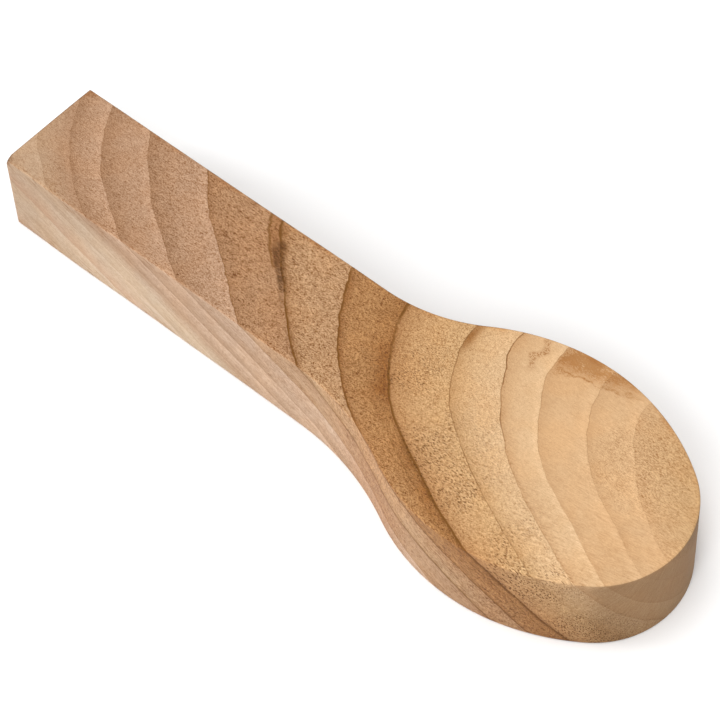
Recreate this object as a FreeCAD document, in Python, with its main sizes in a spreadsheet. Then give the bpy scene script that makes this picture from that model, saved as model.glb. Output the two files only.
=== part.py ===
# Spoon carving blank: one piece of solid hardwood, sawn to the outline of a spoon from a flat
# board. The handle is a plain rectangular bar, the bowl a full-thickness oval, and nothing is
# hollowed yet. Both faces are flat, every sawn side is square to them, and all corners are eased.
#
# Frame: millimetres, +Z up. The blank lies on its lower face. The origin is on that face, half way
# along the length and on the centre line of the bowl. +X points at the bowl's tip.
import FreeCAD, Part
import math
import os
import Sketcher

doc = FreeCAD.newDocument("spoon_blank")

# ---- driving dimensions --------------------------------------------------------------------------
sheet = doc.addObject("Spreadsheet::Sheet", "sizes")
driving = [
    ("total_length", 200.0, "handle end to bowl tip"),
    ("board_thickness", 25.0, "thickness of the board"),
    ("bowl_width", 61.0, "widest place of the bowl"),
    ("bowl_widest_to_tip", 43.2, "bowl tip back to its widest place"),
    ("bowl_side_radius", 56.3, "arc of each side of the bowl"),
    ("handle_width", 30.5, "handle, side to side"),
    ("handle_offset", 1.3, "handle centre line, towards -Y from the bowl's"),
    ("right_neck_radius", 75.5, "hollow arc into the bowl, -Y side"),
    ("left_neck_radius", 49.0, "hollow arc into the bowl, +Y side"),
    ("corner_easing", 0.6, "rounding of every sawn corner"),
]
for row, (alias, value, meaning) in enumerate(driving, start=1):
    sheet.set("A%d" % row, meaning)
    sheet.set("B%d" % row, str(value))
    sheet.setAlias("B%d" % row, alias)
doc.recompute()


def size(alias):
    """The number in the sheet's cell of this name."""
    return float(sheet.get(alias))


def origin_plane(body, role):
    """One of the body's own three origin planes."""
    return next(feature for feature in body.Origin.OriginFeatures if feature.Role == role)


# ---- the outline's start values ------------------------------------------------------------------
# The sketch's constraints settle the outline. These places only give its solver a start.
tip_x = size("total_length") / 2
widest_x = tip_x - size("bowl_widest_to_tip")
side_radius = size("bowl_side_radius")
side_centre_y = size("bowl_width") / 2 - side_radius


def neck_places(side):
    """Where a neck arc leaves the handle and meets the bowl, and its centre. side is -1 or +1."""
    radius = size("right_neck_radius") if side < 0 else size("left_neck_radius")
    edge = size("handle_width") / 2 - side * size("handle_offset")
    centre_y = edge + radius
    drop = centre_y - side_centre_y
    run = math.sqrt((radius + side_radius) ** 2 - drop ** 2)
    centre = FreeCAD.Vector(widest_x - run, side * centre_y, 0)
    bowl_centre = FreeCAD.Vector(widest_x, side * side_centre_y, 0)
    leaves = FreeCAD.Vector(centre.x, side * edge, 0)
    meets = centre + (bowl_centre - centre) * (radius / (radius + side_radius))
    return centre, bowl_centre, leaves, meets, radius


def nose_places():
    """The nose arc's centre, its radius and the place where it meets the +Y side arc."""
    back = size("bowl_widest_to_tip")
    radius = (side_radius ** 2 - side_centre_y ** 2 - back ** 2) / (2 * (side_radius - back))
    centre = FreeCAD.Vector(tip_x - radius, 0, 0)
    away = centre - FreeCAD.Vector(widest_x, side_centre_y, 0)
    return centre, radius, centre + away.normalize() * radius


def arc(centre, radius, start, end):
    """An arc of a circle, counter-clockwise from start to end."""
    circle = Part.Circle(centre, FreeCAD.Vector(0, 0, 1), radius)
    first = math.atan2(start.y - centre.y, start.x - centre.x)
    last = math.atan2(end.y - centre.y, end.x - centre.x)
    return Part.ArcOfCircle(circle, first, last if last > first else last + 2 * math.pi)


# ---- the blank -----------------------------------------------------------------------------------
blank = doc.addObject("PartDesign::Body", "spoon_blank")
blank.Label = "spoon_blank"
blank.Placement = FreeCAD.Placement()

outline = blank.newObject("Sketcher::SketchObject", "outline")
outline.AttachmentSupport = [(origin_plane(blank, "XY_Plane"), "")]
outline.MapMode = "FlatFace"

right_centre, right_bowl_centre, right_leaves, right_meets, right_radius = neck_places(-1)
left_centre, left_bowl_centre, left_leaves, left_meets, left_radius = neck_places(+1)
nose_centre, nose_radius, nose_meets_left = nose_places()
nose_meets_right = FreeCAD.Vector(nose_meets_left.x, -nose_meets_left.y, 0)
end_right = FreeCAD.Vector(-tip_x, right_leaves.y, 0)
end_left = FreeCAD.Vector(-tip_x, left_leaves.y, 0)

# Once round the blank, counter-clockwise, starting along the handle's -Y side.
right_edge = outline.addGeometry(Part.LineSegment(end_right, right_leaves))
right_neck = outline.addGeometry(arc(right_centre, right_radius, right_meets, right_leaves))
right_bowl = outline.addGeometry(arc(right_bowl_centre, side_radius, right_meets, nose_meets_right))
nose = outline.addGeometry(arc(nose_centre, nose_radius, nose_meets_right, nose_meets_left))
left_bowl = outline.addGeometry(arc(left_bowl_centre, side_radius, nose_meets_left, left_meets))
left_neck = outline.addGeometry(arc(left_centre, left_radius, left_leaves, left_meets))
left_edge = outline.addGeometry(Part.LineSegment(left_leaves, end_left))
end_edge = outline.addGeometry(Part.LineSegment(end_left, end_right))
bowl_tip = outline.addGeometry(Part.Point(FreeCAD.Vector(tip_x, 0, 0)), True)

START, END, CENTRE = 1, 2, 3
ROOT = -1


def constrain(*terms):
    """Adds one plain constraint to the outline."""
    outline.addConstraint(Sketcher.Constraint(*terms))


def dimension(name, expression, *terms):
    """Adds one named dimension to the outline, bound to the sheet."""
    outline.addConstraint(Sketcher.Constraint(*terms))
    outline.renameConstraint(outline.ConstraintCount - 1, name)
    outline.setExpression("Constraints." + name, expression)


constrain("Tangent", right_edge, END, right_neck, END)
constrain("Tangent", right_neck, START, right_bowl, START)
constrain("Tangent", right_bowl, END, nose, START)
constrain("Tangent", nose, END, left_bowl, START)
constrain("Tangent", left_bowl, END, left_neck, END)
constrain("Tangent", left_neck, START, left_edge, START)
constrain("Coincident", left_edge, END, end_edge, START)
constrain("Coincident", end_edge, END, right_edge, START)
constrain("Horizontal", right_edge)
constrain("Horizontal", left_edge)
constrain("Vertical", end_edge)
constrain("PointOnObject", nose, CENTRE, ROOT)
constrain("PointOnObject", bowl_tip, START, ROOT)
constrain("PointOnObject", bowl_tip, START, nose)
constrain("Equal", right_bowl, left_bowl)
constrain("Vertical", right_bowl, CENTRE, left_bowl, CENTRE)

dimension("end_to_origin", "sizes.total_length / 2",
          "DistanceX", end_edge, START, ROOT, START, tip_x)
dimension("origin_to_tip", "sizes.total_length / 2",
          "DistanceX", ROOT, START, bowl_tip, START, tip_x)
dimension("right_edge_y", "sizes.handle_width / 2 + sizes.handle_offset",
          "DistanceY", right_edge, START, ROOT, START, -end_right.y)
dimension("left_edge_y", "sizes.handle_width / 2 - sizes.handle_offset",
          "DistanceY", ROOT, START, left_edge, END, end_left.y)
dimension("right_neck_arc", "sizes.right_neck_radius", "Radius", right_neck, right_radius)
dimension("left_neck_arc", "sizes.left_neck_radius", "Radius", left_neck, left_radius)
dimension("bowl_arc", "sizes.bowl_side_radius", "Radius", right_bowl, side_radius)
dimension("widest_place", "sizes.total_length / 2 - sizes.bowl_widest_to_tip",
          "DistanceX", ROOT, START, right_bowl, CENTRE, widest_x)
dimension("bowl_centres", "2 * sizes.bowl_side_radius - sizes.bowl_width",
          "DistanceY", left_bowl, CENTRE, right_bowl, CENTRE, -2 * side_centre_y)
doc.recompute()

board = blank.newObject("PartDesign::Pad", "board")
board.Profile = outline
board.setExpression("Length", "sizes.board_thickness")
doc.recompute()

# Every corner of the sawn blank is eased: round both faces and down the handle's two end corners.
sharp_edges = []
for number, edge in enumerate(board.Shape.Edges, start=1):
    middle = edge.valueAt((edge.FirstParameter + edge.LastParameter) / 2)
    on_a_face = edge.BoundBox.ZLength < 1e-6
    at_handle_end = abs(middle.x + tip_x) < 1e-6
    if on_a_face or at_handle_end:
        sharp_edges.append("Edge%d" % number)
easing = blank.newObject("PartDesign::Fillet", "easing")
easing.Base = (board, sharp_edges)
easing.setExpression("Radius", "sizes.corner_easing")
blank.Tip = easing
doc.recompute()

# ---- checks and output ---------------------------------------------------------------------------
for item in doc.Objects:
    if "Invalid" in item.State or "Error" in item.State:
        raise RuntimeError("%s failed: %s" % (item.Label, item.State))
if outline.solve() != 0 or not outline.FullyConstrained:
    raise RuntimeError("the outline's constraints don't settle it")

os.makedirs("parts", exist_ok=True)
for body in [blank]:
    if body.Shape.isNull() or not body.Shape.isValid():
        raise RuntimeError("%s has no valid shape" % body.Label)
    body.Shape.exportStep("parts/%s.step" % body.Label)
    box = body.Shape.optimalBoundingBox(False)
    print("%s: %.2f x %.2f x %.2f mm, %.0f mm3"
          % (body.Label, box.XLength, box.YLength, box.ZLength, body.Shape.Volume))
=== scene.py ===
import math

import bmesh
import bpy
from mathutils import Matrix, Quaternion, Vector, kdtree, noise


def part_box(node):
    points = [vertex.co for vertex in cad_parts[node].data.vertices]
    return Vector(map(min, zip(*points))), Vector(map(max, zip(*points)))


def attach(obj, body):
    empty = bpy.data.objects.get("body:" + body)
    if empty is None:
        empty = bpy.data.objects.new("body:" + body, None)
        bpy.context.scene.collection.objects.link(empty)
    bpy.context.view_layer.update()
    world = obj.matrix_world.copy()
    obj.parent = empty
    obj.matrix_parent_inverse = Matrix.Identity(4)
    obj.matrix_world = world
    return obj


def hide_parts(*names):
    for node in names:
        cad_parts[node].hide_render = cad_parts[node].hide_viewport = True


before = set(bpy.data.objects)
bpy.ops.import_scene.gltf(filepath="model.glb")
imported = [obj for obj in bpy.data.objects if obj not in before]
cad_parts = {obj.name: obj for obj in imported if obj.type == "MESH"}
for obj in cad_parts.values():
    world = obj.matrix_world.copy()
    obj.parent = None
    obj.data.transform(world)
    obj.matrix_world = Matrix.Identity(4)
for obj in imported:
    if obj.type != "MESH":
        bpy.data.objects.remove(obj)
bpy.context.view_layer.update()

# ==== The blank ===================================================================================
# A board 25 mm thick, planed on both faces, with the spoon's outline bandsawn square through it.
# The handle is a plain bar, the bowl is a full-thickness oval, and hollow arcs join the two.
# Every corner is eased with a few strokes of sandpaper, and the wood is bare, with no finish.

low_corner, high_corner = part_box("spoon_blank")
end_x, tip_x = low_corner[0], high_corner[0]
thickness = high_corner[2]
half_bowl = 0.0305
widest_to_tip = 0.0432
widest_x = tip_x - widest_to_tip
bowl_arc = 0.0563
handle_right, handle_left = -0.01655, 0.01395
right_neck_arc, left_neck_arc = 0.0755, 0.049
corner_easing, easing_steps = 0.0004, 4
sharp_corner, bent_edge = math.radians(60), math.radians(8)
level, least_flat_area = 0.999, 0.001
outline_step = 0.0012
grid_step = 0.0016
touching = 1e-6
saw_wander, saw_wander_length, saw_wander_up = 0.0003, 0.03, 0.4
saw_wander_seed = 7
knock_depth, knock_reach, knock_way = 0.0008, 0.0021, Vector((1, 1, -1)).normalized()


def bend_into_bowl(neck_arc, handle_side):
    """How far back from the bowl's widest place a neck's centre lies, and the angle it turns."""
    rise = neck_arc + abs(handle_side) + bowl_arc - half_bowl
    run = math.sqrt((neck_arc + bowl_arc) ** 2 - rise ** 2)
    return run, math.asin(run / (neck_arc + bowl_arc))


def draw_arc(mesh, pencil, centre, angle):
    """Carries the pencil, the outline's last point, round an arc and returns where it stops."""
    radius = (pencil.co.xy - Vector(centre)).length
    steps = math.ceil(radius * abs(angle) / outline_step)
    swept = bmesh.ops.spin(mesh, geom=[pencil], cent=(*centre, 0), axis=(0, 0, 1),
                           angle=angle, steps=steps)
    return next(item for item in swept["geom_last"] if isinstance(item, bmesh.types.BMVert))


def draw_line(mesh, pencil, distance):
    """Carries the pencil straight along the blank."""
    drawn = bmesh.ops.extrude_vert_indiv(mesh, verts=[pencil])
    bmesh.ops.translate(mesh, verts=drawn["verts"], vec=(distance, 0, 0))
    return drawn["verts"][0]


blank = bmesh.new()
right_run, right_turn = bend_into_bowl(right_neck_arc, handle_right)
left_run, left_turn = bend_into_bowl(left_neck_arc, handle_left)
bowl_centre = bowl_arc - half_bowl
nose_arc = (bowl_arc ** 2 - bowl_centre ** 2 - widest_to_tip ** 2) / (
    2 * (bowl_arc - widest_to_tip))
nose_turn = math.asin((widest_to_tip - nose_arc) / (bowl_arc - nose_arc))

# The outline is drawn once round, from the handle's right-hand corner.
corner = bmesh.ops.create_vert(blank, co=(end_x, handle_right, 0))["vert"][0]
pencil = draw_line(blank, corner, widest_x - right_run - end_x)
pencil = draw_arc(blank, pencil, (widest_x - right_run, handle_right - right_neck_arc), -right_turn)
pencil = draw_arc(blank, pencil, (widest_x, bowl_centre), right_turn + nose_turn)
pencil = draw_arc(blank, pencil, (tip_x - nose_arc, 0), math.pi - 2 * nose_turn)
pencil = draw_arc(blank, pencil, (widest_x, -bowl_centre), nose_turn + left_turn)
pencil = draw_arc(blank, pencil, (widest_x - left_run, handle_left + left_neck_arc), -left_turn)
pencil = draw_line(blank, pencil, end_x - pencil.co.x)
bmesh.ops.contextual_create(blank, geom=[pencil, corner])
bmesh.ops.remove_doubles(blank, verts=blank.verts, dist=touching)
face = bmesh.ops.contextual_create(blank, geom=blank.edges[:])["faces"][0]

# The board's thickness, then the eased corners: round both faces and down the handle's end.
raised = bmesh.ops.extrude_face_region(blank, geom=[face])["geom"]
top_points = [item for item in raised if isinstance(item, bmesh.types.BMVert)]
bmesh.ops.translate(blank, verts=top_points, vec=(0, 0, thickness))
bmesh.ops.recalc_face_normals(blank, faces=blank.faces)
sharp = [edge for edge in blank.edges if len(edge.link_faces) == 2
         and edge.calc_face_angle() > sharp_corner]
bmesh.ops.bevel(blank, geom=sharp, offset=corner_easing, affect="EDGES", segments=easing_steps,
                profile=0.5, material=-1)
flats = [flat for flat in blank.faces
         if abs(flat.normal.z) > level and flat.calc_area() > least_flat_area]
bmesh.ops.inset_region(blank, faces=flats, thickness=corner_easing, use_even_offset=True)

# A fine grid of cuts over the whole block, so that its faces can be a little out of true.
for axis, start, stop in ((0, end_x, tip_x), (1, -half_bowl, half_bowl), (2, 0, thickness)):
    cuts = round((stop - start) / grid_step)
    for cut in range(1, cuts):
        cut_point = Vector((0, 0, 0))
        cut_point[axis] = start + (stop - start) * cut / cuts
        across = Vector((0, 0, 0))
        across[axis] = 1
        bmesh.ops.bisect_plane(blank, geom=blank.verts[:] + blank.edges[:] + blank.faces[:],
                               plane_co=cut_point, plane_no=across, dist=touching)

# Each point keeps its distance from the nearest eased corner, in millimetres, for the wear there.
blank.normal_update()
bends = [edge for edge in blank.edges if edge.calc_face_angle(0) > bent_edge]
rounded = {point.index: point for edge in bends for point in edge.verts}
arrises = kdtree.KDTree(len(rounded))
for number, point in rounded.items():
    arrises.insert(point.co, number)
arrises.balance()
from_arris = blank.verts.layers.float.new("from_arris")
for point in blank.verts:
    point[from_arris] = arrises.find(point.co)[2] * 1000

# The saw wandered a little, and the handle's upper right corner has been knocked in.
noise.seed_set(saw_wander_seed)
for point in blank.verts:
    wander = noise.noise_vector(point.co / saw_wander_length) * saw_wander
    wander.z *= saw_wander_up * point.co.z / thickness
    knock = 1 - (point.co - Vector((end_x, handle_right, thickness))).length / knock_reach
    dent = knock_way * knock_depth * max(knock, 0) ** 2
    point.co += wander + dent

for face in blank.faces:
    face.smooth = True
mesh = bpy.data.meshes.new("spoon_blank_wood")
blank.to_mesh(mesh)
blank.free()
spoon_blank = bpy.data.objects.new("sawn_spoon_blank", mesh)
bpy.context.collection.objects.link(spoon_blank)


class Wire:
    """One output of a material's nodes. It is written in sums as a number is, and each operator
    adds the Math node that works it out over the surface."""

    def __init__(self, tree, socket=None):
        self.tree = tree
        self.socket = socket

    def node(self, kind, settings=None, inputs=None, output=0):
        """Adds a node of any kind: its settings first, then the values or wires of its sockets."""
        made = self.tree.nodes.new("ShaderNode" + kind)
        for name, value in (settings or {}).items():
            if name == "stops":
                fill_ramp(made.color_ramp, value)
            elif name == "ramp":
                made.color_ramp.interpolation = value
            else:
                setattr(made, name, value)
        for name, value in (inputs or {}).items():
            if isinstance(value, Wire):
                self.tree.links.new(value.socket, made.inputs[name])
            else:
                made.inputs[name].default_value = value
        return Wire(self.tree, made.outputs[output] if made.outputs else None)

    def maths(self, operation, *others):
        return self.node("Math", {"operation": operation}, dict(enumerate((self, *others))))

    def maths_after(self, first, operation):
        """The same, where the number stands before this wire."""
        return self.node("Math", {"operation": operation}, {0: first, 1: self})

    def __add__(self, other):
        return self.maths("ADD", other)

    def __radd__(self, other):
        return self.maths_after(other, "ADD")

    def __sub__(self, other):
        return self.maths("SUBTRACT", other)

    def __rsub__(self, other):
        return self.maths_after(other, "SUBTRACT")

    def __mul__(self, other):
        return self.maths("MULTIPLY", other)

    def __rmul__(self, other):
        return self.maths_after(other, "MULTIPLY")

    def __truediv__(self, other):
        return self.maths("DIVIDE", other)

    def __rtruediv__(self, other):
        return self.maths_after(other, "DIVIDE")

    def __pow__(self, other):
        return self.maths("POWER", other)

    def __abs__(self):
        return self.maths("ABSOLUTE")

    def step(self, start, stop):
        """0 before start, 1 after stop, and an easy rise between. start may be above stop."""
        return self.node("MapRange", {"interpolation_type": "SMOOTHSTEP"},
                         {"Value": self, "From Min": start, "From Max": stop})

    def other(self, output):
        """Another output of the same node."""
        return Wire(self.tree, self.socket.node.outputs[output])

    def noise(self, grain, detail=2.0, roughness=0.5, curl=0.0):
        """Soft noise round 0, its grains this size: one number, or three for the three axes."""
        sizes = grain if isinstance(grain, tuple) else (grain, grain, grain)
        stretched = self.node("Mapping", {}, {"Vector": self, "Scale": tuple(1 / s for s in sizes)})
        return self.node("TexNoise", {"noise_dimensions": "3D"},
                         {"Vector": stretched, "Scale": 1.0, "Detail": detail,
                          "Roughness": roughness, "Distortion": curl}) * 2 - 1

    def blend(self, first, second):
        """A colour between two, this wire saying how far along."""
        return self.node("Mix", {"data_type": "RGBA", "clamp_factor": True},
                         {0: self, 6: first, 7: second}, 2)

    def tint(self, colour):
        """This colour times another."""
        return self.node("Mix", {"data_type": "RGBA", "blend_type": "MULTIPLY"},
                         {0: 1.0, 6: self, 7: (*colour, 1)}, 2)


def fill_ramp(ramp, stops):
    """Gives a colour ramp its stops: (place, colour)."""
    while len(ramp.elements) > 1:
        ramp.elements.remove(ramp.elements[-1])
    for number, (place, colour) in enumerate(stops):
        stop = ramp.elements[0] if number == 0 else ramp.elements.new(place)
        stop.position = place
        stop.color = (*colour, 1)


wood = bpy.data.materials.new("bare_sawn_wood")
wood.use_nodes = True
wood.node_tree.nodes.clear()
board = Wire(wood.node_tree)

# Everything in the wood follows the tree it grew in. The pith lay above the board and to the left
# of it, and ran down towards the bowl's tip, so both faces cut the rings at a slant. Millimetres.
pith_left, pith_above = 28, 134
pith_way = Vector((1, -0.04, -0.414)).normalized()
pith_aside = Vector((0, 0, 1)).cross(pith_way).normalized()
pith_out = pith_way.cross(pith_aside)
stem_flatness = 1.27
stem_bow, bow_length = 3.7, 100
drift_share, drift_start, drift_length, drift_middle = 0.226, -34, 132.5, -20.5

place = board.node("VectorMath", {"operation": "SCALE"},
                   {"Vector": board.node("TexCoord", output="Object"), "Scale": 1000.0})
along_x = board.node("SeparateXYZ", {}, {"Vector": place})
along_y = along_x.other("Y")
along_z = along_x.other("Z")

# The stem wasn't quite straight or round, so the rings drift to and fro along it.
drift_turn = (along_x - drift_start) * (2 * math.pi / drift_length)
drift = drift_turn.maths("SINE") * (along_y - drift_middle) * drift_share
from_pith = board.node("CombineXYZ", {}, {
    "X": along_x - drift, "Y": along_y - pith_left, "Z": along_z - pith_above})


def measured(way):
    """How far from the pith's middle a place lies, in one direction."""
    return board.node("VectorMath", {"operation": "DOT_PRODUCT"},
                      {0: from_pith, 1: tuple(way)}, "Value")


def around(spot):
    """1 at a spot on the upper face and 0 its reach from it, right through the board. A spot is
    its x, its y and its reach."""
    x, y, reach = spot
    square = (along_x - x) * (along_x - x) + (along_y - y) * (along_y - y)
    return (square / reach ** 2).step(1.0, 0.0)


fibre = measured(pith_way)
aside = measured(pith_aside) * stem_flatness
bend = fibre / bow_length
out = measured(pith_out) + bend * bend * stem_bow
wobble = place.noise(24.0, 1.0) * 0.8 + place.noise(6.0, 2.0) * 0.35 + place.noise(1.8, 1.0) * 0.13

# In the bowl the rings also turn a soft corner, where the stem had a flute, and they go round one
# small swelling and one small hollow in the stem.
flute_start, flute_slope, flute_top, flute_base = 21, 0.5, 12.0, 9
flute_softness, flute_width, flute_depth, flute_level = 1.5, 6, 0.9, 0.4
swelling, swelling_height = (47, 3, 9), 0.5
hollow, hollow_depth = (34, 22, 9), 0.9
flute_place = ((along_x - flute_start) * flute_slope).maths("MINIMUM", flute_top) - flute_base
flute_gap = along_y - flute_place
flute = 1 / (1 + (flute_gap * flute_gap + flute_softness) ** 0.5 / flute_width) * (
    along_x.step(-5, 20))
bumps = around(swelling) * swelling_height - around(hollow) * hollow_depth
radius = (aside * aside + out * out) ** 0.5 + wobble - (flute - flute_level) * flute_depth + bumps
round_pith = aside.maths("ARCTAN2", out) * 100
strands = board.node("CombineXYZ", {}, {"X": aside, "Y": out, "Z": fibre})
sheets = board.node("CombineXYZ", {}, {"X": round_pith, "Y": radius, "Z": fibre})

# The tones this one board runs through, from the golden wood in the bowl to the rosy wood in the
# handle and the pale sapwood under it.
honey = (0.48, 0.29, 0.135)
pale_gold = (0.57, 0.355, 0.185)
cream = (0.61, 0.40, 0.22)
straw_brown = (0.53, 0.32, 0.15)
tawny = (0.45, 0.24, 0.10)
rust = (0.36, 0.178, 0.064)
russet = (0.39, 0.20, 0.08)
olive_tan = (0.42, 0.24, 0.12)
cocoa = (0.37, 0.20, 0.10)
rosy_tan = (0.42, 0.25, 0.15)
rosy_brown = (0.345, 0.195, 0.108)
beige = (0.42, 0.275, 0.17)
line_brown = (0.17, 0.066, 0.010)
black_brown = (0.09, 0.034, 0.007)

# One row for each year, from the pith out: the ring's width in millimetres, its spring wood, its
# summer wood, and how strong the winter line that ends it, its pores and its fuzz are.
years = [
    (7.0, honey, pale_gold, 0.15, 0.10, 0.32),
    (5.5, pale_gold, pale_gold, 0.30, 0.05, 0.15),
    (7.5, pale_gold, pale_gold, 0.40, 0.05, 0.15),
    (6.0, cream, pale_gold, 0.80, 0.10, 0.20),
    (7.5, cream, straw_brown, 0.60, 0.45, 0.45),
    (10.0, straw_brown, tawny, 1.00, 1.00, 0.70),
    (7.0, rust, russet, 0.90, 0.40, 1.00),
    (6.5, olive_tan, olive_tan, 0.95, 0.30, 1.00),
    (7.0, cocoa, cocoa, 0.55, 0.20, 0.95),
    (7.5, rosy_tan, rosy_brown, 0.30, 0.15, 0.75),
    (6.5, rosy_tan, rosy_brown, 0.35, 0.15, 0.60),
    (4.5, rosy_tan, rosy_brown, 0.35, 0.15, 0.60),
    (4.5, rosy_brown, beige, 0.30, 0.15, 0.45),
    (4.5, beige, beige, 0.25, 0.15, 0.35),
    (7.5, beige, rosy_tan, 0.30, 0.15, 0.35),
    (8.0, beige, beige, 0.25, 0.15, 0.35),
    (7.0, beige, rosy_tan, 0.30, 0.15, 0.35),
    (7.5, beige, beige, 0.25, 0.15, 0.35),
]
first_radius = 58.3
total_width = sum(year[0] for year in years)
count = len(years)
year_ends = [first_radius]
for year in years:
    year_ends.append(year_ends[-1] + year[0])
ages = [((end - first_radius) / total_width, (number / count,) * 3)
        for number, end in enumerate(year_ends)]
age = board.node("ValToRGB", {"stops": ages}, {0: (radius - first_radius) / total_width}) * count
year_number = age.maths("FLOOR")
season = age - year_number
this_year = (year_number + 0.5) / count


def by_year(pick):
    """A colour that each year's ring has all through."""
    stops = [(number / count, pick(year)) for number, year in enumerate(years)]
    return board.node("ValToRGB", {"ramp": "CONSTANT", "stops": stops}, {0: this_year})


spring_wood = by_year(lambda year: year[1])
summer_wood = by_year(lambda year: year[2])
line_strength = board.node("SeparateColor", {}, {0: by_year(lambda year: year[3:])})
pore_strength = line_strength.other(1)
fuzz_strength = line_strength.other(2)

# Sawn along the fibre, wood looks paler, the sapwood most of all. Sawn across it, the open ends
# drink in the light, and the same mask paints shade on the bowl's tip, which faces away from the
# lamps. slant is 0 along the fibre and 1 across it, and 0.38 on the two planed faces.
facing = board.node("TexCoord", output="Normal")
slant = abs(board.node("VectorMath", {"operation": "DOT_PRODUCT"}, {
    0: facing, 1: tuple(pith_way)}, "Value"))
sawn_side = abs(board.node("SeparateXYZ", {}, {"Vector": facing}, "Z")).step(0.6, 0.3)
bowl_side = sawn_side * along_x.step(36, 58)
pale = slant.step(0.34, 0.05) * (radius.step(103, 120) - along_x.step(-55, -90) * 0.45)
end_grain_and_shade = slant.step(0.40, 0.70)

# Fuzz: torn fibres left by the saw and the sandpaper, curling along the grain, over a finer speckle
# and longer, fainter strands. Rays: short thin dashes that run out from the pith.
weathered_spot = (80, 14, 17)
tufts = strands.noise((0.40, 0.42, 2.2), 1.5, 0.55, curl=0.9)
speckle = strands.noise((0.22, 0.22, 0.6), 1.0)
strand = strands.noise((0.75, 0.95, 17.0), 2.0)
rays = sheets.noise((0.42, 5.0, 1.8), 1.0)
cloud = place.noise(17.0, 2.0)
blotch = place.noise(5.0, 2.0)
weathered = around(weathered_spot)
near_tip = along_x.step(45, 75)
fuzz = (tufts * 1.5 + speckle * 2.0) * (fuzz_strength + weathered * 0.35)
grain = fuzz + strand * (fuzz_strength * 0.45 + 0.05) + rays * (near_tip * 0.20 + 0.12)
grain = grain * (1 - pale * 0.35)
bands = strands.noise((2.6, 3.4, 45.0), 1.0)
torn = (tufts * 0.8 + speckle).step(0.20, 0.65) * (fuzz_strength * 0.7 + weathered * 0.3)

# Winter lines: a thin dark line where each ring ends, fainter here and there, with a soft shade
# and dark flecks leading up to it, and a pale strip of new spring wood after it. On the bowl's
# right side the inmost lines nearly vanish, and the others darken.
inmost_rings = radius.step(90.5, 87.0)
inner_rings = radius.step(97.0, 93.0)
near_side = along_y.step(-2, -24)
faded = place.noise(7.0, 2.0).step(-0.35, 0.15) * 0.5 + 0.5
faded = faded * (1 - inmost_rings * along_y.step(10, -8) * 0.65)
faded = faded * (1 + near_side * radius.step(87.0, 89.5) * 0.5)
line_width = line_strength * line_strength
line = season.step(0.985 - line_width * 0.040, 0.995 - line_width * 0.020)
line = line * line_strength * faded * (1 - end_grain_and_shade * 0.5)
line = line * (1 - bowl_side * radius.step(99, 95) * 0.7)
shade = season.step(0.50, 1.0) * (line_strength * 0.6 + 0.4) * (1 - pale * 0.4)
shade = shade * (1 - inner_rings * along_y.step(4, -16) * 0.5) * (1 - bowl_side * 0.7)
flecks = season.step(0.84, 0.96) * line_strength * tufts.step(0.02, 0.30)
new_wood = season.step(0.0, 0.03) * season.step(0.26, 0.08) * pore_strength.step(0.22, 0.16)
new_wood = new_wood * (1 - bowl_side * 0.85)

# Pores: thin tubes along the fibre. The slanting faces cut them to short dashes, the sawn sides
# open them into streaks, and across the bowl's tip they are dots.
pore_gap_aside, pore_gap_out, pore_straying = 0.50, 0.75, 0.8
straying = place.noise(7.0, 1.0)
tubes = board.node("CombineXYZ", {}, {
    "X": aside / pore_gap_aside + straying * pore_straying,
    "Y": out / pore_gap_out + straying * pore_straying, "Z": 0.0})
tube = board.node("TexVoronoi", {"voronoi_dimensions": "2D", "feature": "F1"},
                  {"Vector": tubes, "Scale": 1.0})
chance = board.node("SeparateColor", {}, {0: tube.other("Color")})
crowding = place.noise(11.0, 2.0).step(-0.35, 0.20)
pore_share = pore_strength * (along_y.step(13, -3) * 0.6 + 0.4) + (
    near_side * radius.step(103, 99) * radius.step(76, 86) * 0.35)
pores = tube.step(0.27, 0.13) * chance.step(0.12, 0.32) * pore_share * crowding


def beside(line_radius, reach):
    """1 on one year's line and 0 this far from it on either side."""
    return abs(radius - line_radius).step(reach, 0.0)


def inside(line_radius, reach):
    """1 just before one year's line, on the pith's side of it, and 0 this far from it."""
    return radius.step(line_radius - reach, line_radius) * radius.step(
        line_radius + 0.10, line_radius - 0.05)


# Marks of this one board. The darkest line has a rusty stain on the handle's side of it, which
# becomes two dark seams at the bowl's right side. Three lines have a soft halo on the pith's side.
patch_line, smear_line, darkest_line, neck_line, mid_handle_line = (
    year_ends[number] for number in (3, 5, 6, 7, 8))
stain_middle, stain_left, stain_right = (17, -7, 15), (8, 14, 12), (47, -28, 24)
second_seam_gap = 1.9
stain_band = radius.step(darkest_line - 0.3, darkest_line + 0.2) * radius.step(
    darkest_line + 4.5, darkest_line)
stain = stain_band * (blotch * 0.9 + tufts * 1.3 + 0.8) * (
    around(stain_middle) * 0.8 + around(stain_left) * 0.4 + around(stain_right) * 0.6 + 0.15)
seam = radius.step(darkest_line - 0.35, darkest_line - 0.10) * radius.step(
    darkest_line + 0.75, darkest_line + 0.15) * along_y.step(-12, -20) * (
    (tufts * 1.8 + blotch * 0.8).step(-0.30, 0.20) * 0.9 + 0.1)
second_seam = beside(darkest_line + second_seam_gap, 0.25) * along_y.step(-12, -22) * (
    blotch.step(-0.3, 0.1))
halo = (inside(darkest_line, 0.8) * 0.8 + inside(neck_line, 0.9) * 0.7
        + inside(mid_handle_line, 1.2) * 0.7) * ((tufts + blotch).step(-0.4, 0.4) + 0.2)

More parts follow.
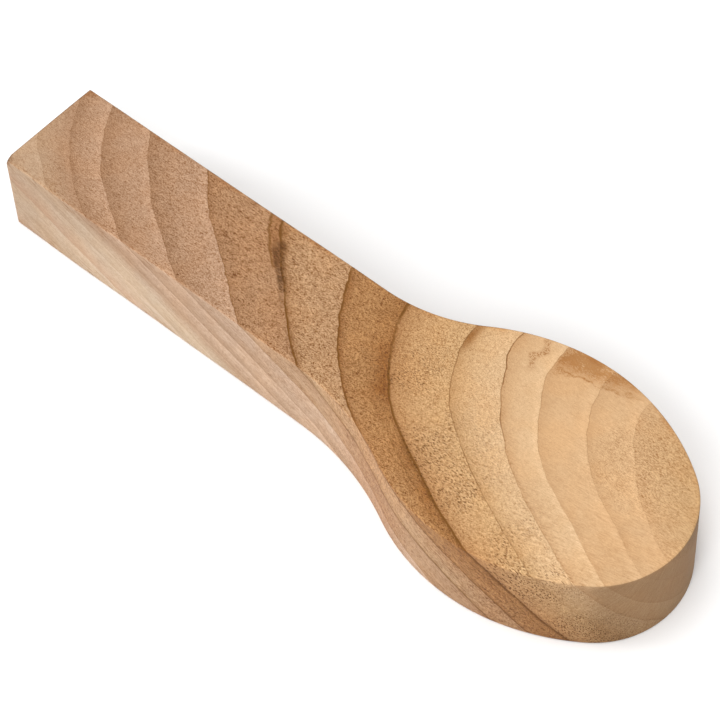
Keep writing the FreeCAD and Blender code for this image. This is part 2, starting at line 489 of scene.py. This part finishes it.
# Black fuzz stands on the line in mid-handle, and towards the left edge that line is double.
black_spot, double_spot = (-22, 2, 12), (-31, 10, 13)
double_line_gap = 0.9
black_flecks = (tufts * 0.9 + blotch * 0.5 + speckle * 0.7).step(-0.22, 0.20)
black_fuzz = beside(mid_handle_line + 0.1, 0.9).step(0.05, 0.6) * black_flecks * (
    around(black_spot).step(0.0, 0.7) * 0.75 + 0.15)
left_half = around(double_spot)
second_line = beside(mid_handle_line + double_line_gap, 0.22) * left_half.step(0.0, 0.5)
between_lines = radius.step(mid_handle_line - 0.1, mid_handle_line) * radius.step(
    mid_handle_line + 1.0, mid_handle_line + 0.8) * left_half.step(0.0, 0.5)

# Along the bowl's left edge are a smear, then a squiggle of broken flecks, then a brown patch with
# a rim. patch_edge is how far a place lies past the patch's slanting, ragged edge.
smear_spot, squiggle_spot, patch_spot = (24.5, 17.5, 7), (41, 23, 7), (54, 26, 17)
squiggle_turns, squiggle_swing = 1.1, 0.8
patch_start_x, patch_start_y, patch_slope = 54, 23.5, 0.28
smear = around(smear_spot) * radius.step(smear_line + 0.1, smear_line - 0.2) * (
    radius.step(smear_line - 2.0, smear_line - 0.3)) * (blotch * 0.6 + tufts * 0.5 + 0.9)
squiggle_bend = (along_y * squiggle_turns).maths("SINE") * squiggle_swing + blotch * 1.6
squiggle = abs(along_x - squiggle_spot[0] - squiggle_bend).step(1.5, 0.3) * (
    around(squiggle_spot) * (tufts + speckle * 0.6).step(-0.12, 0.15))
patch_edge = along_y - patch_start_y - (along_x - patch_start_x) * patch_slope
patch_edge = patch_edge - blotch * 3.0 - place.noise(1.6, 2.0)
patch_share = radius.step(patch_line + 0.2, patch_line - 0.5) * around(patch_spot)
patch = patch_edge.step(-1.5, 5.0) * patch_share * (blotch * 1.6 + tufts * 2.0 + 1.1)
patch_rim = abs(patch_edge - 0.2).step(0.7, 0.0) * patch_share * (
    tufts * 1.6 + blotch * 1.5 + 0.6)
knocked = board.node("VectorMath", {"operation": "DISTANCE"}, {
    0: place, 1: (end_x * 1000, handle_right * 1000, thickness * 1000)}, "Value").step(2.6, 0.6)

# The eased corners are rubbed a little, more in some places than in others. The handle's right one
# is frayed near its end, and its left one is a little scorched.
near_arris = board.node("Attribute", {"attribute_name": "from_arris"}, output="Fac")
rubbed = near_arris.step(0.9, 0.1) * (blotch * 0.6 + 0.5)
frayed = strands.noise((0.30, 0.40, 5.0), 1.0).step(0.05, 0.45) * near_arris.step(6.0, 0.5) * (
    along_y.step(-14, -16)) * along_x.step(-25, -55)
scorched = near_arris.step(1.4, 0.2) * along_y.step(8, 13) * (blotch * 1.5 + 0.2).step(0.1, 0.8)

# Where the wood is darker it is also browner, so blue follows the grain most and red least.
late_summer = 1.3
depth = grain * 0.70 + cloud * 0.10 + blotch * 0.06
deepening = board.node("CombineXYZ", {}, {
    "X": 1 + depth * 0.80, "Y": 1 + depth * 1.05, "Z": 1 + depth * 1.35})
warmth = place.noise(9.0, 2.0).step(-0.25, 0.35)
colour = (season ** late_summer).blend(spring_wood, summer_wood)
colour = board.node("VectorMath", {"operation": "MULTIPLY"}, {0: colour, 1: deepening})

# Each of these tints the wood under it: how much of it there is, and its tint.
in_the_wood = [
    (warmth, (1.02, 0.985, 0.94)),
    (new_wood * 0.4, (1.14, 1.16, 1.20)),
    (shade * 0.4, (0.72, 0.62, 0.50)),
    (torn, (0.78, 0.69, 0.58)),
    (weathered * 0.5, (0.90, 0.86, 0.80)),
    (stain, (0.68, 0.52, 0.32)),
    (halo, (0.74, 0.58, 0.36)),
    (between_lines, (0.84, 0.74, 0.60)),
    (patch, (0.68, 0.52, 0.34)),
    (patch_rim, (0.66, 0.50, 0.30)),
    (smear, (0.62, 0.46, 0.28)),
    (squiggle, (0.55, 0.40, 0.26)),
    (flecks, (0.60, 0.50, 0.40)),
]
# These hide the wood under them with a colour of their own.
dark_lines = [
    (line, line_brown),
    (second_line * 0.8, line_brown),
    (seam * 0.85, line_brown),
    (second_seam * 0.50, line_brown),
    (black_fuzz, black_brown),
]
# And these tint all of it: the pores, the cut and worn places, the pale sawn sides, which darken
# towards their top, all sawn sides darker towards the handle's end, the end grain darker and also
# painted shade on the bowl's tip, and painted shade on the bowl's sawn sides.
on_the_surface = [
    (pores, (0.28, 0.18, 0.09)),
    (knocked, (0.60, 0.52, 0.45)),
    (pale, (1.16, 1.34, 1.54)),
    (bands.step(-0.1, 0.3) * pale * 0.6, (1.10, 1.14, 1.20)),
    (pale * along_z.step(6, 22), (0.90, 0.88, 0.87)),
    (sawn_side * along_x.step(-60, -98), (0.88, 0.88, 0.88)),
    # Painted shade on the bowl's sawn sides, from the neck nearly to the tip, where they turn away
    # from the lamps.
    (bowl_side * along_x.step(92, 80), (0.86, 0.82, 0.79)),
    # End grain is darker, and this also paints shade on the bowl's tip, which faces away from the
    # lamps.
    (end_grain_and_shade, (0.56, 0.52, 0.47)),
    (rubbed, (1.05, 1.04, 1.02)),
    (frayed, (0.74, 0.62, 0.50)),
    (scorched, (0.86, 0.74, 0.60)),
]
for share, tint in in_the_wood:
    colour = share.blend(colour, colour.tint(tint))
for share, pigment in dark_lines:
    colour = share.blend(colour, (*pigment, 1))
for share, tint in on_the_surface:
    colour = share.blend(colour, colour.tint(tint))

# The sandpaper left the soft wood fuzzy, and the pores and the lines a little sunken. Unfinished
# wood is dull, and the rubbed corners are a little smoother.
relief_height, relief_strength = 0.00015, 0.6
bare_roughness, bare_gloss = 0.68, 0.2
height = grain * 0.5 - pores * 1.2 - line * 0.5 - black_fuzz * 0.6
relief = board.node("Bump", {}, {
    "Height": height, "Distance": relief_height, "Strength": relief_strength})
roughness = bare_roughness + grain * 0.10 + pores * 0.15 - rubbed * 0.10
skin = board.node("BsdfPrincipled", {}, {
    "Base Color": colour, "Roughness": roughness, "Normal": relief,
    "Specular IOR Level": bare_gloss})
board.node("OutputMaterial", {}, {"Surface": skin})
mesh.materials.append(wood)

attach(spoon_blank, "root")
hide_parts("spoon_blank")

# ==== The studio ==================================================================================
# The blank lies on a white paper sweep in a white room. One soft box stands low beyond the handle's
# right side, one stands high at the front, and one hangs overhead.

sweep_size, sweep_below = 3.0, 0.0001
whiteness, paper_roughness, paper_gloss = 0.92, 0.9, 0.1
room_brightness = 0.36
light_distance = 1.5
floor_mesh = bmesh.new()
bmesh.ops.create_grid(floor_mesh, x_segments=1, y_segments=1, size=sweep_size)
bmesh.ops.translate(floor_mesh, verts=floor_mesh.verts, vec=(0, 0, -sweep_below))
sweep_mesh = bpy.data.meshes.new("white_sweep")
floor_mesh.to_mesh(sweep_mesh)
floor_mesh.free()
sweep = bpy.data.objects.new("white_sweep", sweep_mesh)
bpy.context.collection.objects.link(sweep)
paper = bpy.data.materials.new("white_paper")
paper.use_nodes = True
paper_shader = paper.node_tree.nodes["Principled BSDF"]
paper_shader.inputs["Base Color"].default_value = (whiteness, whiteness, whiteness, 1)
paper_shader.inputs["Roughness"].default_value = paper_roughness
paper_shader.inputs["Specular IOR Level"].default_value = paper_gloss
sweep_mesh.materials.append(paper)

world = bpy.data.worlds.new("white_room")
world.use_nodes = True
room = world.node_tree.nodes["Background"]
room.inputs["Color"].default_value = (1, 1, 1, 1)
room.inputs["Strength"].default_value = room_brightness
bpy.context.scene.world = world


def soft_light(name, bearing, height_angle, size, power):
    """A square soft box that faces the blank. bearing is counter-clockwise from +X, in degrees."""
    lamp = bpy.data.lights.new(name, "AREA")
    lamp.shape = "SQUARE"
    lamp.size = size
    lamp.energy = power
    stand = bpy.data.objects.new(name, lamp)
    flat = math.cos(math.radians(height_angle))
    stand.location = light_distance * Vector((flat * math.cos(math.radians(bearing)),
                                              flat * math.sin(math.radians(bearing)),
                                              math.sin(math.radians(height_angle))))
    stand.rotation_euler = (-stand.location).to_track_quat("-Z", "Y").to_euler()
    bpy.context.collection.objects.link(stand)


soft_light("side_soft_box", bearing=214, height_angle=15, size=0.6, power=13.5)
soft_light("front_soft_box", bearing=297, height_angle=48, size=0.5, power=8)
soft_light("overhead_soft_box", bearing=270, height_angle=86, size=0.8, power=13.5)

bpy.context.scene.view_settings.view_transform = "Standard"

# The camera looks down from beyond the bowl's right-hand side, with a long lens, turned a little.
aim = Vector((0.00327, 0.00078, 0.0125))
view_distance = 0.68493
view_bearing, view_height, view_roll = (math.radians(turn) for turn in (44.96, 53.87, -4.02))
lens = bpy.data.cameras.new("long_lens")
lens.lens = 141.7
lens.sensor_width = 36
lens.clip_start = 0.01
camera = bpy.data.objects.new("camera", lens)
towards = Vector((-math.sin(view_bearing) * math.cos(view_height),
                  math.cos(view_bearing) * math.cos(view_height), -math.sin(view_height)))
camera.location = aim - towards * view_distance
camera.rotation_mode = "QUATERNION"
camera.rotation_quaternion = towards.to_track_quat("-Z", "Y") @ Quaternion((0, 0, 1), view_roll)
bpy.context.collection.objects.link(camera)
bpy.context.scene.camera = camera
